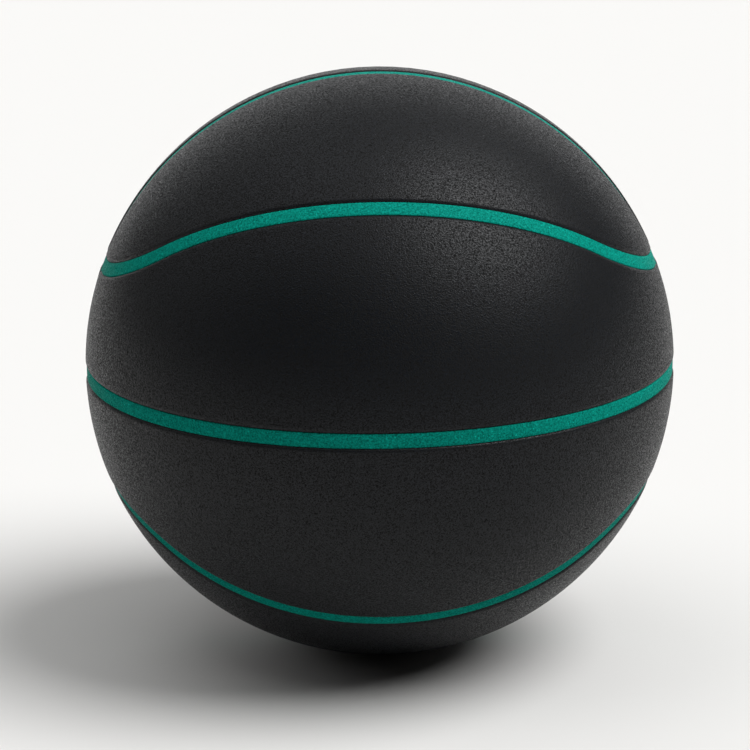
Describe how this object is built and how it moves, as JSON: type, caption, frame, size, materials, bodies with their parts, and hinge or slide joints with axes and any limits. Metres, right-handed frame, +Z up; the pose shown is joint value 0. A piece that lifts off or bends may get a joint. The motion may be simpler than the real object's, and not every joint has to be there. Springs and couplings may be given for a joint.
{
  "type": "foam basketball",
  "caption": "Soft foam ball for indoor play: black foam cover panels round a solid foam core, parted by recessed green seam strips in the basketball layout.",
  "frame": {"origin": "centre of the ball", "axes": "+Z up, square to the level waist seam; the spine seam lies in the plane y = 0, and -Y is the front that the picture shows"},
  "size_m": [0.2396, 0.2398, 0.2398],
  "materials": {
    "core_foam": "open-cell moulded foam, matte",
    "cover_foam": "closed-cell foam skin, matte with a fine sandy grain",
    "seam_foam": "green closed-cell foam skin, matte with a fine sandy grain"
  },
  "bodies": {
    "root": {"foam_core": "core_foam", "front_upper_panel": "cover_foam", "front_lower_panel": "cover_foam", "back_upper_panel": "cover_foam", "back_lower_panel": "cover_foam", "top_front_panel": "cover_foam", "top_back_panel": "cover_foam", "bottom_front_panel": "cover_foam", "bottom_back_panel": "cover_foam", "spine_strip": "seam_foam", "waist_front_strip": "seam_foam", "waist_back_strip": "seam_foam", "upper_front_strip": "seam_foam", "upper_back_strip": "seam_foam", "lower_front_strip": "seam_foam", "lower_back_strip": "seam_foam"}
  },
  "joints": []
}
